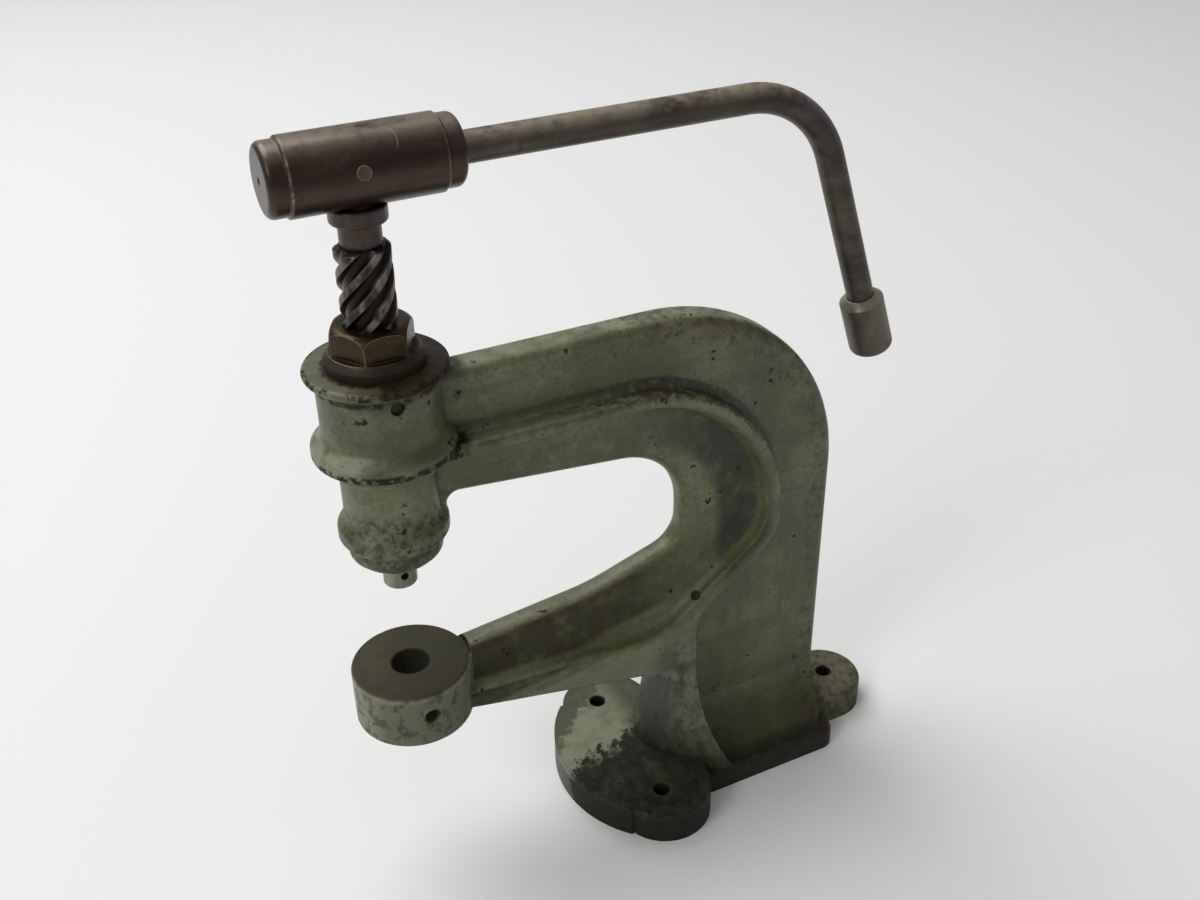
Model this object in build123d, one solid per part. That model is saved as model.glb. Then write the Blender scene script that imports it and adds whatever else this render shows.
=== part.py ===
from build123d import *

import os
from math import cos, degrees, hypot, radians, sin, sqrt

# Hand screw press: a C-shaped casting with a bored head over a round anvil, a bronze nut,
# a steep six-start screw that drives a keyed ram, and a bent crank handle in a cross hub.
# Sizes in millimetres. X runs from the ram to the column, Y across the casting, Z up.
# The origin lies on the base underside, midway between the two front bolt holes.

# Layout
RAM_REACH = 77.0
RAM_X = -RAM_REACH
ANVIL_TOP = 81.6
DAYLIGHT = 42.7
HEAD_HEIGHT = 63.3
HEAD_BOTTOM = ANVIL_TOP + DAYLIGHT
HEAD_TOP = HEAD_BOTTOM + HEAD_HEIGHT
COLUMN_BACK = 76.2
OVERRUN = 1.0
SEAT_CLEARANCE = 0.05
RUNNING_CLEARANCE = 0.05
EDGE_TOLERANCE = 0.05
MIDDLE_SHARE = 0.5

# Base: front bulge, two front ears, a straight foot under the column and one rear lug
FRONT_BOLT_PITCH = 50.4
BOLT_HOLE_DIAMETER = 6.0
BASE_HEIGHT = 12.0
BASE_ROUND = 2.4
BULGE_RADIUS = 42.0
BULGE_REACH = 25.4
BULGE_WIDTH = 58.0
EAR_RADIUS = 16.5
EAR_SETBACK = 2.5
EAR_INSET = 2.7
FOOT_WIDTH = 50.0
FOOT_SETBACK = 1.2
FOOT_END = COLUMN_BACK - FOOT_SETBACK
FOOT_CORNER_RADIUS = 6.0
FOOT_RIM_HEIGHT = 8.0
FOOT_ROUND = 2.2
LUG_RADIUS = 14.0
LUG_REACH = 10.5
REAR_BOLT_REACH = FOOT_END + LUG_REACH

# Hollow plinth that rises from the foot's rim to the column web
PLINTH_FRONT = 22.0
PLINTH_INSET = 1.0
PLINTH_RISE = 19.0
PLINTH_BOTTOM = FOOT_RIM_HEIGHT - PLINTH_INSET
PLINTH_TOP = FOOT_RIM_HEIGHT + PLINTH_RISE
PLINTH_HOLLOW_SHARE = 0.14
PLINTH_CORNER_RADIUS = 14.0

# Web of the C-shaped frame, with the wedge-shaped throat
WEB_THICKNESS = 11.0
WEB_ROUND_SHARE = 0.29
WEB_ROUND = WEB_ROUND_SHARE * WEB_THICKNESS
THROAT_ROUND_SHARE = 0.43
THROAT_ROUND = THROAT_ROUND_SHARE * WEB_THICKNESS
ARM_DROP = 5.4
ARM_TOP = HEAD_TOP - ARM_DROP
OUTER_RADIUS = 68.0
COLUMN_WEB_FRONT = 16.5
ROOF_RISE = 18.7
ROOF_FALL = 9.0
THROAT_ROOF_AT_RAM = HEAD_BOTTOM + ROOF_RISE
THROAT_ROOF_AT_BACK = THROAT_ROOF_AT_RAM - ROOF_FALL
THROAT_BACK = 18.3
FLOOR_STEP = 0.1
FLOOR_KNEE_RISE = 7.1
FLOOR_BACK_RISE = 17.1
FLOOR_KNEE_X = -13.5
THROAT_BACK_HEIGHT = THROAT_ROOF_AT_BACK - ANVIL_TOP - FLOOR_BACK_RISE
THROAT_ROOF_SHARE = 0.68
THROAT_FLOOR_SHARE = 0.31
THROAT_ROOF_RADIUS = THROAT_ROOF_SHARE * THROAT_BACK_HEIGHT
THROAT_FLOOR_RADIUS = THROAT_FLOOR_SHARE * THROAT_BACK_HEIGHT
FLOOR_KNEE_RADIUS = 60.0
GUSSET_REACH = 2.2
GUSSET_ROUND_SHARE = 0.68

# Wide spine that follows the throat and runs on into the lower arm and the pedestal
SPINE_WIDTH = 26.0
SPINE_DROP = 20.2
SPINE_TOP = ARM_TOP - SPINE_DROP
SPINE_THICKNESS = 4.7
SPINE_REACH = 33.4
SPINE_BACK = THROAT_BACK + SPINE_REACH
SPINE_BACK_THICKNESS = 5.7
SPINE_TURN_RISE = 14.4
SPINE_TURN_HEIGHT = ANVIL_TOP + SPINE_TURN_RISE
SPINE_INNER_TURN_RISE = 3.0
SPINE_RADIUS_SHARE = 0.833
SPINE_TURN_SHARE = 0.303
SPINE_RADIUS = SPINE_RADIUS_SHARE * (SPINE_TOP - SPINE_TURN_HEIGHT)
SPINE_TURN_RADIUS = SPINE_TURN_SHARE * (SPINE_TOP - SPINE_TURN_HEIGHT)
SPINE_FORK_DROP = 10.6
SPINE_FORK_RADIUS = 12.0
PEDESTAL_BACK = 20.5
PEDESTAL_FRONT = 15.0
ARM_DEPTH_AT_RAM = 12.3
ARM_DEPTH_AT_PEDESTAL = 30.2
ARM_UNDERSIDE_AT_RAM = ANVIL_TOP - ARM_DEPTH_AT_RAM
ARM_UNDERSIDE_AT_PEDESTAL = ANVIL_TOP - ARM_DEPTH_AT_PEDESTAL
ARM_UNDERSIDE_RADIUS = 20.0
ARM_FLANGE_AT_RAM = 3.1
ARM_FLANGE_AT_END = 16.6
ARM_RIDGE_END_X = 6.5
ARM_RIDGE_RADIUS = 26.0
COVE_SHARE = 0.8
COVE_RADIUS = COVE_SHARE * (SPINE_WIDTH - WEB_THICKNESS) / 2
LEDGE_RADIUS = 2.0
SPINE_EDGE_SHARE = 0.42
SPINE_EDGE_ROUND = SPINE_EDGE_SHARE * SPINE_THICKNESS

# Flared pedestal front, from the foot up to the fork of the spine, level by level
PEDESTAL_RISE = 10.6
PEDESTAL_LEVEL_SHARES = (0.0, 0.273, 0.527, 1.0)
PEDESTAL_FRONTS = (3.0, 6.5, 9.5, 11.5)
PEDESTAL_WIDTH_SHARES = (1.0, 0.82, 0.66, 0.5)
PEDESTAL_CORNERS = (27.5, 19.0, 16.0, 13.5)
PEDESTAL_BACKS = (31.0, 23.5, 20.3, 20.5)
PEDESTAL_WAIST_WIDTH_SHARE = 0.76
PEDESTAL_WAIST_REACH_SHARE = 0.56

# Bores and turned outside of the head, with levels as shares of its height
RAM_RADIUS = 10.0
NUT_SPIGOT_WALL = 3.0
NUT_SPIGOT_RADIUS = RAM_RADIUS + NUT_SPIGOT_WALL
NUT_SEAT_DEPTH = 15.6
HEAD_WALL = 4.2
HEAD_BARREL_RADIUS = NUT_SPIGOT_RADIUS + HEAD_WALL
HEAD_NECK_WALL = 3.9
HEAD_NECK_RADIUS = RAM_RADIUS + HEAD_NECK_WALL
HEAD_FLANGE_REACH = 3.0
HEAD_FLANGE_THICKNESS = 2.2
HEAD_FLANGE_ROUND = 1.0
HEAD_LIP_REACH = 1.2
HEAD_LIP_THICKNESS = 1.4
HEAD_LIP_ROUND = 0.6
HEAD_BEAD_REACH = 3.5
HEAD_BEAD_TOP_SHARE = 0.675
HEAD_BEAD_CREST_TOP_SHARE = 0.627
HEAD_BEAD_CREST_BOTTOM_SHARE = 0.573
HEAD_BEAD_LIP_TOP_SHARE = 0.532
HEAD_BEAD_LIP_BOTTOM_SHARE = 0.506
HEAD_BEAD_BOTTOM_SHARE = 0.472
HEAD_BEAD_LIP_REACH = 2.3
HEAD_BEAD_LIP_ROUND = 0.7
HEAD_BEAD_ROUND = 1.7
HEAD_BEAD_COVE = 1.6
HEAD_BEAD_TOP_COVE = 3.6
HEAD_RING_REACH = 2.4
HEAD_RING_TOP_SHARE = 0.2385
HEAD_RING_CREST_TOP_SHARE = 0.194
HEAD_RING_CREST_BOTTOM_SHARE = 0.134
HEAD_RING_BOTTOM_SHARE = 0.093
HEAD_RING_ROUND = 1.6
HEAD_RING_COVE = 1.8
HEAD_MOUTH_CHAMFER = 2.3

# Anvil boss at the end of the lower arm
ANVIL_RADIUS = 18.6
ANVIL_HEIGHT = 19.0
ANVIL_ROUND = 0.9
DIE_BORE_DIAMETER = 12.2
DIE_SCREW_HOLE_DIAMETER = 5.0
DIE_SCREW_DEPTH = 8.0

# Core pit near the fork of the spine
PIT_X = 20.6
PIT_DROP = 2.3
PIT_RADIUS = 1.7
PIT_DEPTH = 2.9

# Screw thread, shared by spindle and nut
THREAD_STARTS = 6
THREAD_LEAD = 46.0
THREAD_CREST_RADIUS = 7.6
THREAD_DEPTH = 1.4
THREAD_ROOT_RADIUS = THREAD_CREST_RADIUS - THREAD_DEPTH
THREAD_CREST_SHARE = 0.34
THREAD_ROOT_SHARE = 0.34
THREAD_CLEARANCE = 0.2

# Bronze nut with a turned collar, flats and a domed top
NUT_COLLAR_REACH = 0.9
NUT_COLLAR_RADIUS = NUT_SPIGOT_RADIUS + NUT_COLLAR_REACH
NUT_COLLAR_HEIGHT = 2.6
NUT_SHOULDER = 1.9
NUT_SHOULDER_RISE = 2.6
NUT_BODY_RADIUS = NUT_COLLAR_RADIUS - NUT_SHOULDER
NUT_TOP_HEIGHT = 12.2
NUT_BOTTOM = HEAD_TOP - NUT_SEAT_DEPTH
NUT_TOP = HEAD_TOP + NUT_TOP_HEIGHT
NUT_DOME = 3.0
NUT_FLAT_COUNT = 6
NUT_FLATS_SHARE = 0.87
NUT_FLATS_BOTTOM = 4.6
NUT_FLATS_ANGLE = 2.0
LOCK_SCREW_DROP = 6.4
LOCK_SCREW_HEIGHT = HEAD_TOP - LOCK_SCREW_DROP
LOCK_SCREW_DIAMETER = 4.0
LOCK_SCREW_RECESS = 1.2

# Ram, its tool nose and the keyway that a guide screw holds straight
RAM_TOP_GAP = 2.0
RAM_TOP = NUT_BOTTOM - RAM_TOP_GAP
RAM_SHOULDER_GAP = 0.9
RAM_SHOULDER = HEAD_BOTTOM + RAM_SHOULDER_GAP
RAM_CHAMFER = 0.8
NOSE_RADIUS = 5.1
NOSE_LENGTH = 11.6
NOSE_BOTTOM = RAM_SHOULDER - NOSE_LENGTH
NOSE_ROUND = 0.7
TOOL_SOCKET_DIAMETER = 4.0
TOOL_SOCKET_DEPTH = 16.0
TOOL_SCREW_HOLE_DIAMETER = 2.6
TOOL_SCREW_RISE = 4.4
KEYWAY_WIDTH = 4.0
KEYWAY_DEPTH = 2.0
GUIDE_SCREW_SHARE = 0.327
GUIDE_SCREW_HEIGHT = HEAD_BOTTOM + GUIDE_SCREW_SHARE * HEAD_HEIGHT
GUIDE_SCREW_DIAMETER = 5.0
GUIDE_TIP_CLEARANCE = 0.1
RAM_TRAVEL = 24.0
TRAVEL_RESERVE = 4.5

# Spindle: journal in the ram, held by two cross pins, then thread, neck, collar and tenon
JOURNAL_STEP = 1.2
JOURNAL_RADIUS = THREAD_ROOT_RADIUS - JOURNAL_STEP
JOURNAL_DEPTH = 16.0
JOURNAL_BOTTOM = RAM_TOP - JOURNAL_DEPTH
JOURNAL_GROOVE_DEPTH = 1.4
JOURNAL_GROOVE_RADIUS = JOURNAL_RADIUS - JOURNAL_GROOVE_DEPTH
RETAINING_PIN_DIAMETER = 3.0
RETAINING_PIN_HEIGHT = (JOURNAL_BOTTOM + RAM_TOP) / 2
RETAINING_PIN_SHARE = 0.94
THRUST_CLEARANCE = 0.1
THREAD_BOTTOM_GAP = 1.0
THREAD_BOTTOM = RAM_TOP + THREAD_BOTTOM_GAP
THREAD_SHOWN = 22.2
THREAD_TOP = NUT_TOP + THREAD_SHOWN
THREAD_CHAMFER = 0.9
NECK_STEP = 0.5
NECK_RADIUS = THREAD_ROOT_RADIUS - NECK_STEP
COLLAR_REACH = 2.1
COLLAR_RADIUS = NECK_RADIUS + COLLAR_REACH
COLLAR_BOTTOM = NUT_TOP + RAM_TRAVEL + TRAVEL_RESERVE
COLLAR_THICKNESS = 4.7
COLLAR_TOP = COLLAR_BOTTOM + COLLAR_THICKNESS
COLLAR_ROUND = 0.8
TENON_STEP = 0.7
TENON_RADIUS = NECK_RADIUS - TENON_STEP
TENON_CHAMFER = 0.6

# Cross hub
HUB_RADIUS = 10.4
HUB_SINK = 0.8
HUB_HEIGHT = COLLAR_TOP + HUB_RADIUS - HUB_SINK
HUB_FRONT = -23.6
HUB_BACK = 28.0
HUB_END_LENGTH = 5.7
HUB_END_STEP = 0.7
HUB_END_ROUND = 2.0
HUB_CENTRE_DIAMETER = 2.4
HUB_CENTRE_DEPTH = 3.0
HUB_SEAT_CLEARANCE = 0.6
HUB_PIN_DIAMETER = 4.0
HUB_PIN_RISE = 1.4
HUB_PIN_HEIGHT = HUB_HEIGHT + HUB_PIN_RISE
HUB_PIN_PROUD = 0.15
TENON_COVER = 4.5
TENON_TOP = HUB_HEIGHT + HUB_RADIUS - TENON_COVER

# Bent handle and its knob
ROD_DIAMETER = 8.8
ROD_WALL = 3.0
ROD_START = TENON_RADIUS + ROD_WALL
ROD_CORNER_X = 139.0
ROD_LEAN = 18.5
ROD_BEND_RADIUS = 32.0
LEG_LENGTH = 96.0
KNOB_DIAMETER = 14.4
KNOB_LENGTH = 21.5
KNOB_CHAMFER_SHARE = 0.78
KNOB_CHAMFER = KNOB_CHAMFER_SHARE * (KNOB_DIAMETER - ROD_DIAMETER) / 2
KNOB_ROUND = 2.0
KNOB_SOCKET_SHARE = 0.7
KNOB_SOCKET_DEPTH = KNOB_SOCKET_SHARE * KNOB_LENGTH
ROD_SOCKET_GAP = 0.3

RAM_AXIS = Pos(RAM_X, 0, 0)
ACROSS = Rot(90, 0, 0)
ALONG = Rot(0, 90, 0)
FULL_TURN = 360


def outline(points, radii):
    """Closed XZ outline with a rounding radius for each corner."""
    return Plane.XZ * make_face(FilletPolyline(*points, radius=radii, close=True))


def rounded_line(points, radii):
    """Open XZ line through the points, rounded at its inner corners."""
    return Plane.XZ * FilletPolyline(*points, radius=list(radii[1:-1]))


def slab(face, width):
    """XZ face thickened evenly to both sides of the casting's middle plane."""
    return extrude(face, amount=width / 2, both=True)


def turned(points, radii):
    """Solid turned about the ram axis from a (radius, height) outline."""
    return RAM_AXIS * revolve(outline(points, radii), Axis.Z)


def rod_z(radius, bottom, top):
    """Upright cylinder on the ram axis."""
    length = top - bottom
    return Pos(RAM_X, 0, bottom + length / 2) * Cylinder(radius, length)


def rod_y(radius, start, end, x, height):
    """Cylinder across the casting, from Y start to Y end."""
    length = end - start
    return Pos(x, start + length / 2, height) * ACROSS * Cylinder(radius, length)


def rod_x(radius, start, end, height):
    """Cylinder along X, with places counted from the ram axis."""
    length = end - start
    return Pos(RAM_X + start + length / 2, 0, height) * ALONG * Cylinder(radius, length)


def edges_along(shape, line, width):
    """Edges of both side faces of a slab that lie over an XZ line."""
    found = []
    for edge in shape.edges():
        middle = edge.position_at(MIDDLE_SHARE)
        on_face = abs(abs(middle.Y) - width / 2) < EDGE_TOLERANCE
        if on_face and line.distance_to(Vertex(middle.X, 0, middle.Z)) < EDGE_TOLERANCE:
            found.append(edge)
    return found


def base_plate():
    """Three-lobed plate: front bulge with two ears, and one rear lug, joined under the foot."""
    bulge = Pos(BULGE_RADIUS - BULGE_REACH, 0) * Circle(BULGE_RADIUS)
    ahead = Pos(-BULGE_REACH, 0) * Rectangle(2 * (EAR_SETBACK + BULGE_REACH), BULGE_WIDTH)
    plan = bulge & ahead
    for side in (-1, 1):
        ear_y = side * (FRONT_BOLT_PITCH / 2 - EAR_INSET)
        plan += Pos(EAR_SETBACK, ear_y) * Circle(EAR_RADIUS)
    neck_length = FOOT_END - FOOT_CORNER_RADIUS - EAR_SETBACK
    neck = Pos(EAR_SETBACK + neck_length / 2, 0) * Rectangle(neck_length, 2 * LUG_RADIUS)
    plan += neck
    plan += Pos(REAR_BOLT_REACH, 0) * Circle(LUG_RADIUS)
    plan += Pos(REAR_BOLT_REACH - LUG_RADIUS / 2, 0) * Rectangle(LUG_RADIUS, 2 * LUG_RADIUS)
    plate = extrude(plan, amount=BASE_HEIGHT)
    return fillet(plate.faces().sort_by(Axis.Z)[-1].edges(), BASE_ROUND)


def foot():
    """Straight low foot under the column, with rounded rear corners."""
    length = FOOT_END - EAR_SETBACK
    block = Pos(EAR_SETBACK + length / 2, 0, FOOT_RIM_HEIGHT / 2)
    block = block * Box(length, FOOT_WIDTH, FOOT_RIM_HEIGHT)
    rear = block.edges().filter_by(Axis.Z).sort_by(Axis.X)[-2:]
    block = fillet(rear, FOOT_CORNER_RADIUS)
    return fillet(block.faces().sort_by(Axis.Z)[-1].edges(), FOOT_ROUND)


def plinth():
    """Hollow sides that rise from the foot's rim to the column web, rounded off at the rear."""
    half = FOOT_WIDTH / 2 - PLINTH_INSET
    top_half = WEB_THICKNESS / 2
    run = half - top_half
    rise = PLINTH_TOP - PLINTH_BOTTOM
    sag = PLINTH_HOLLOW_SHARE * hypot(run, rise)
    middle_y = (half + top_half) / 2 - sag * rise / hypot(run, rise)
    middle_z = (PLINTH_BOTTOM + PLINTH_TOP) / 2 - sag * run / hypot(run, rise)
    section = make_face(
        [
            Line((-half, PLINTH_BOTTOM), (half, PLINTH_BOTTOM)),
            ThreePointArc((half, PLINTH_BOTTOM), (middle_y, middle_z), (top_half, PLINTH_TOP)),
            Line((top_half, PLINTH_TOP), (-top_half, PLINTH_TOP)),
            ThreePointArc((-top_half, PLINTH_TOP), (-middle_y, middle_z), (-half, PLINTH_BOTTOM)),
        ]
    )
    length = FOOT_END - PLINTH_INSET - PLINTH_FRONT
    block = Pos(PLINTH_FRONT, 0, 0) * extrude(Plane.YZ * section, amount=length)
    plan = Pos(PLINTH_FRONT + length / 2, 0, 0) * Box(length, 2 * half, 2 * PLINTH_TOP)
    rear = plan.edges().filter_by(Axis.Z).sort_by(Axis.X)[-2:]
    return block & fillet(rear, PLINTH_CORNER_RADIUS)


def roof_height(x):
    """Height of the throat's straight roof over a place along X."""
    fall = (x - RAM_X) / (THROAT_BACK - RAM_X)
    return THROAT_ROOF_AT_RAM - fall * ROOF_FALL


def frame_web():
    """Web plate of the C: wedge-shaped throat, small gusset under the head, rounded edges."""
    buried = ARM_UNDERSIDE_AT_RAM + ARM_FLANGE_AT_RAM / 2
    neck_x = RAM_X + HEAD_NECK_RADIUS + GUSSET_REACH
    gusset_bottom = head_level(HEAD_RING_CREST_TOP_SHARE)
    gusset_radius = GUSSET_ROUND_SHARE * (roof_height(neck_x) - gusset_bottom)
    points = (
        (RAM_X, ARM_TOP),
        (COLUMN_BACK, ARM_TOP),
        (COLUMN_BACK, FOOT_RIM_HEIGHT / 2),
        (COLUMN_WEB_FRONT, FOOT_RIM_HEIGHT / 2),
        (COLUMN_WEB_FRONT, ARM_UNDERSIDE_AT_PEDESTAL + ARM_FLANGE_AT_END / 2),
        (RAM_X, buried),
        (RAM_X, ANVIL_TOP + FLOOR_STEP),
        (FLOOR_KNEE_X, ANVIL_TOP + FLOOR_KNEE_RISE),
        (THROAT_BACK, ANVIL_TOP + FLOOR_BACK_RISE),
        (THROAT_BACK, THROAT_ROOF_AT_BACK),
        (neck_x, roof_height(neck_x)),
        (neck_x, gusset_bottom),
        (RAM_X, gusset_bottom),
    )
    radii = (0, OUTER_RADIUS, 0, 0, 0, 0, 0,
             FLOOR_KNEE_RADIUS, THROAT_FLOOR_RADIUS, THROAT_ROOF_RADIUS, gusset_radius, 0, 0)
    face = outline(points, radii)
    plate = slab(face, WEB_THICKNESS)
    outer = rounded_line(points[:3], radii[:3])
    inner = rounded_line(points[6:-1], radii[6:-1])
    plate = fillet(edges_along(plate, outer, WEB_THICKNESS), WEB_ROUND)
    return fillet(edges_along(plate, inner, WEB_THICKNESS), THROAT_ROUND)


def spine_lines():
    """Outer and inner XZ lines of the wide spine, from the head to the foot and to the anvil."""
    outer_points = (
        (RAM_X, SPINE_TOP),
        (SPINE_BACK, SPINE_TOP),
        (SPINE_BACK, SPINE_TURN_HEIGHT),
        (PEDESTAL_BACK, ANVIL_TOP - SPINE_FORK_DROP),
        (PEDESTAL_BACK, FOOT_RIM_HEIGHT),
    )
    outer_radii = (0, SPINE_RADIUS, SPINE_TURN_RADIUS, SPINE_FORK_RADIUS, 0)
    inner_back = SPINE_BACK - SPINE_BACK_THICKNESS
    inner_points = (
        (RAM_X, ARM_UNDERSIDE_AT_RAM + ARM_FLANGE_AT_RAM),
        (ARM_RIDGE_END_X, ARM_UNDERSIDE_AT_PEDESTAL + ARM_FLANGE_AT_END),
        (inner_back, SPINE_TURN_HEIGHT + SPINE_INNER_TURN_RISE),
        (inner_back, SPINE_TOP - SPINE_THICKNESS),
        (RAM_X, SPINE_TOP - SPINE_THICKNESS),
    )
    inner_radii = (0, ARM_RIDGE_RADIUS, SPINE_TURN_RADIUS - SPINE_BACK_THICKNESS,
                   SPINE_RADIUS - SPINE_BACK_THICKNESS, 0)
    return (outer_points, outer_radii), (inner_points, inner_radii)


def spine():
    """Wide spine with the lower arm's bottom flange and the plain part of the pedestal."""
    (outer_points, outer_radii), (inner_points, inner_radii) = spine_lines()
    underside = (
        (PEDESTAL_FRONT, FOOT_RIM_HEIGHT),
        (PEDESTAL_FRONT, ARM_UNDERSIDE_AT_PEDESTAL),
        (RAM_X, ARM_UNDERSIDE_AT_RAM),
    )
    points = outer_points + underside + inner_points
    radii = outer_radii + (0, ARM_UNDERSIDE_RADIUS, 0) + inner_radii
    return slab(outline(points, radii), SPINE_WIDTH)


def frame_body():
    """Web and spine in one, with the cove on the throat side and a small ledge fillet outside."""
    body = frame_web() + spine()
    (outer_points, outer_radii), (inner_points, inner_radii) = spine_lines()
    inner = rounded_line(inner_points, inner_radii)
    outer = rounded_line(outer_points, outer_radii)
    body = fillet(edges_along(body, inner, WEB_THICKNESS), COVE_RADIUS)
    body = fillet(edges_along(body, outer, WEB_THICKNESS), LEDGE_RADIUS)
    for line in (inner, outer):
        body = fillet(edges_along(body, line, SPINE_WIDTH), SPINE_EDGE_ROUND)
    return body


def pedestal():
    """Flared front of the pedestal: a bow at the foot that narrows to the spine."""
    top = ARM_UNDERSIDE_AT_PEDESTAL + PEDESTAL_RISE
    levels = zip(PEDESTAL_LEVEL_SHARES, PEDESTAL_FRONTS, PEDESTAL_WIDTH_SHARES,
                 PEDESTAL_CORNERS, PEDESTAL_BACKS)
    sections = []
    for level, front, width, corner, back in levels:
        height = PLINTH_BOTTOM + level * (top - PLINTH_BOTTOM)
        half = width * FOOT_WIDTH / 2
        waist = half * PEDESTAL_WAIST_WIDTH_SHARE
        waist_x = front + (corner - front) * PEDESTAL_WAIST_REACH_SHARE
        bow = Spline((corner, half), (waist_x, waist), (front, 0), (waist_x, -waist), (corner, -half))
        tail = Polyline((corner, -half), (back, -half), (back, half), (corner, half))
        sections.append(Pos(0, 0, height) * make_face([bow, tail]))
    return loft(sections)


def head_level(share):
    """Height of a level of the head, given as a share of its whole height."""
    return HEAD_BOTTOM + share * HEAD_HEIGHT


def head():
    """Turned outside of the head, from the top flange down to the chamfered mouth."""
    flange_radius = HEAD_BARREL_RADIUS + HEAD_FLANGE_REACH
    flange_bottom = HEAD_TOP - HEAD_FLANGE_THICKNESS
    lip_radius = HEAD_BARREL_RADIUS + HEAD_LIP_REACH
    lip_bottom = flange_bottom - HEAD_LIP_THICKNESS
    bead_radius = HEAD_BARREL_RADIUS + HEAD_BEAD_REACH
    bead_lip_radius = HEAD_NECK_RADIUS + HEAD_BEAD_LIP_REACH
    ring_radius = HEAD_NECK_RADIUS + HEAD_RING_REACH
    profile = (
        (0, HEAD_TOP, 0),
        (flange_radius, HEAD_TOP, HEAD_FLANGE_ROUND),
        (flange_radius, flange_bottom, HEAD_FLANGE_ROUND),
        (lip_radius, flange_bottom, 0),
        (lip_radius, lip_bottom, HEAD_LIP_ROUND),
        (HEAD_BARREL_RADIUS, lip_bottom, 0),
        (HEAD_BARREL_RADIUS, head_level(HEAD_BEAD_TOP_SHARE), HEAD_BEAD_TOP_COVE),
        (bead_radius, head_level(HEAD_BEAD_CREST_TOP_SHARE), HEAD_BEAD_ROUND),
        (bead_radius, head_level(HEAD_BEAD_CREST_BOTTOM_SHARE), HEAD_BEAD_ROUND),
        (bead_lip_radius, head_level(HEAD_BEAD_LIP_TOP_SHARE), 0),
        (bead_lip_radius, head_level(HEAD_BEAD_LIP_BOTTOM_SHARE), HEAD_BEAD_LIP_ROUND),
        (HEAD_NECK_RADIUS, head_level(HEAD_BEAD_BOTTOM_SHARE), HEAD_BEAD_COVE),
        (HEAD_NECK_RADIUS, head_level(HEAD_RING_TOP_SHARE), HEAD_RING_COVE),
        (ring_radius, head_level(HEAD_RING_CREST_TOP_SHARE), HEAD_RING_ROUND),
        (ring_radius, head_level(HEAD_RING_CREST_BOTTOM_SHARE), HEAD_RING_ROUND),
        (HEAD_NECK_RADIUS, head_level(HEAD_RING_BOTTOM_SHARE), 0),
        (HEAD_NECK_RADIUS, HEAD_BOTTOM + HEAD_MOUTH_CHAMFER, HEAD_MOUTH_CHAMFER),
        (HEAD_NECK_RADIUS - HEAD_MOUTH_CHAMFER, HEAD_BOTTOM, 0),
        (0, HEAD_BOTTOM, 0),
    )
    points = [(radius, height) for radius, height, corner in profile]
    return turned(points, [corner for radius, height, corner in profile])


def anvil():
    """Round anvil boss with a slightly rounded top edge."""
    points = (
        (0, ANVIL_TOP),
        (ANVIL_RADIUS, ANVIL_TOP),
        (ANVIL_RADIUS, ANVIL_TOP - ANVIL_HEIGHT),
        (0, ANVIL_TOP - ANVIL_HEIGHT),
    )
    return turned(points, (0, ANVIL_ROUND, ANVIL_ROUND, 0))


def frame_casting():
    """The one-piece casting with its machined bores, faces and holes."""
    facing = rod_z(ANVIL_RADIUS, ANVIL_TOP, (HEAD_BOTTOM + ANVIL_TOP) / 2)
    body = frame_body() - facing
    for piece in (head(), anvil(), pedestal(), base_plate(), foot(), plinth()):
        body += piece
    body -= rod_z(RAM_RADIUS + RUNNING_CLEARANCE, HEAD_BOTTOM - OVERRUN, HEAD_TOP + OVERRUN)
    body -= rod_z(NUT_SPIGOT_RADIUS + SEAT_CLEARANCE, NUT_BOTTOM, HEAD_TOP + OVERRUN)
    body -= rod_z(DIE_BORE_DIAMETER / 2, ANVIL_TOP - ANVIL_HEIGHT - OVERRUN, ANVIL_TOP + OVERRUN)
    die_screw_height = ANVIL_TOP - DIE_SCREW_DEPTH
    body -= rod_y(DIE_SCREW_HOLE_DIAMETER / 2, -ANVIL_RADIUS - OVERRUN, 0, RAM_X, die_screw_height)
    lock_start = -HEAD_BARREL_RADIUS - OVERRUN
    body -= rod_y(LOCK_SCREW_DIAMETER / 2 + SEAT_CLEARANCE, lock_start, -RAM_RADIUS, RAM_X,
                  LOCK_SCREW_HEIGHT)
    body -= rod_y(GUIDE_SCREW_DIAMETER / 2 + SEAT_CLEARANCE, 0, HEAD_NECK_RADIUS + OVERRUN, RAM_X,
                  GUIDE_SCREW_HEIGHT)
    body -= Pos(PIT_X, PIT_DEPTH - SPINE_WIDTH / 2, ANVIL_TOP - PIT_DROP) * Sphere(PIT_RADIUS)
    holes = [(0, FRONT_BOLT_PITCH / 2), (0, -FRONT_BOLT_PITCH / 2), (REAR_BOLT_REACH, 0)]
    drill = Cylinder(BOLT_HOLE_DIAMETER / 2, 2 * (BASE_HEIGHT + OVERRUN))
    for x, y in holes:
        body -= Pos(x, y, 0) * drill
    return body


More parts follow.
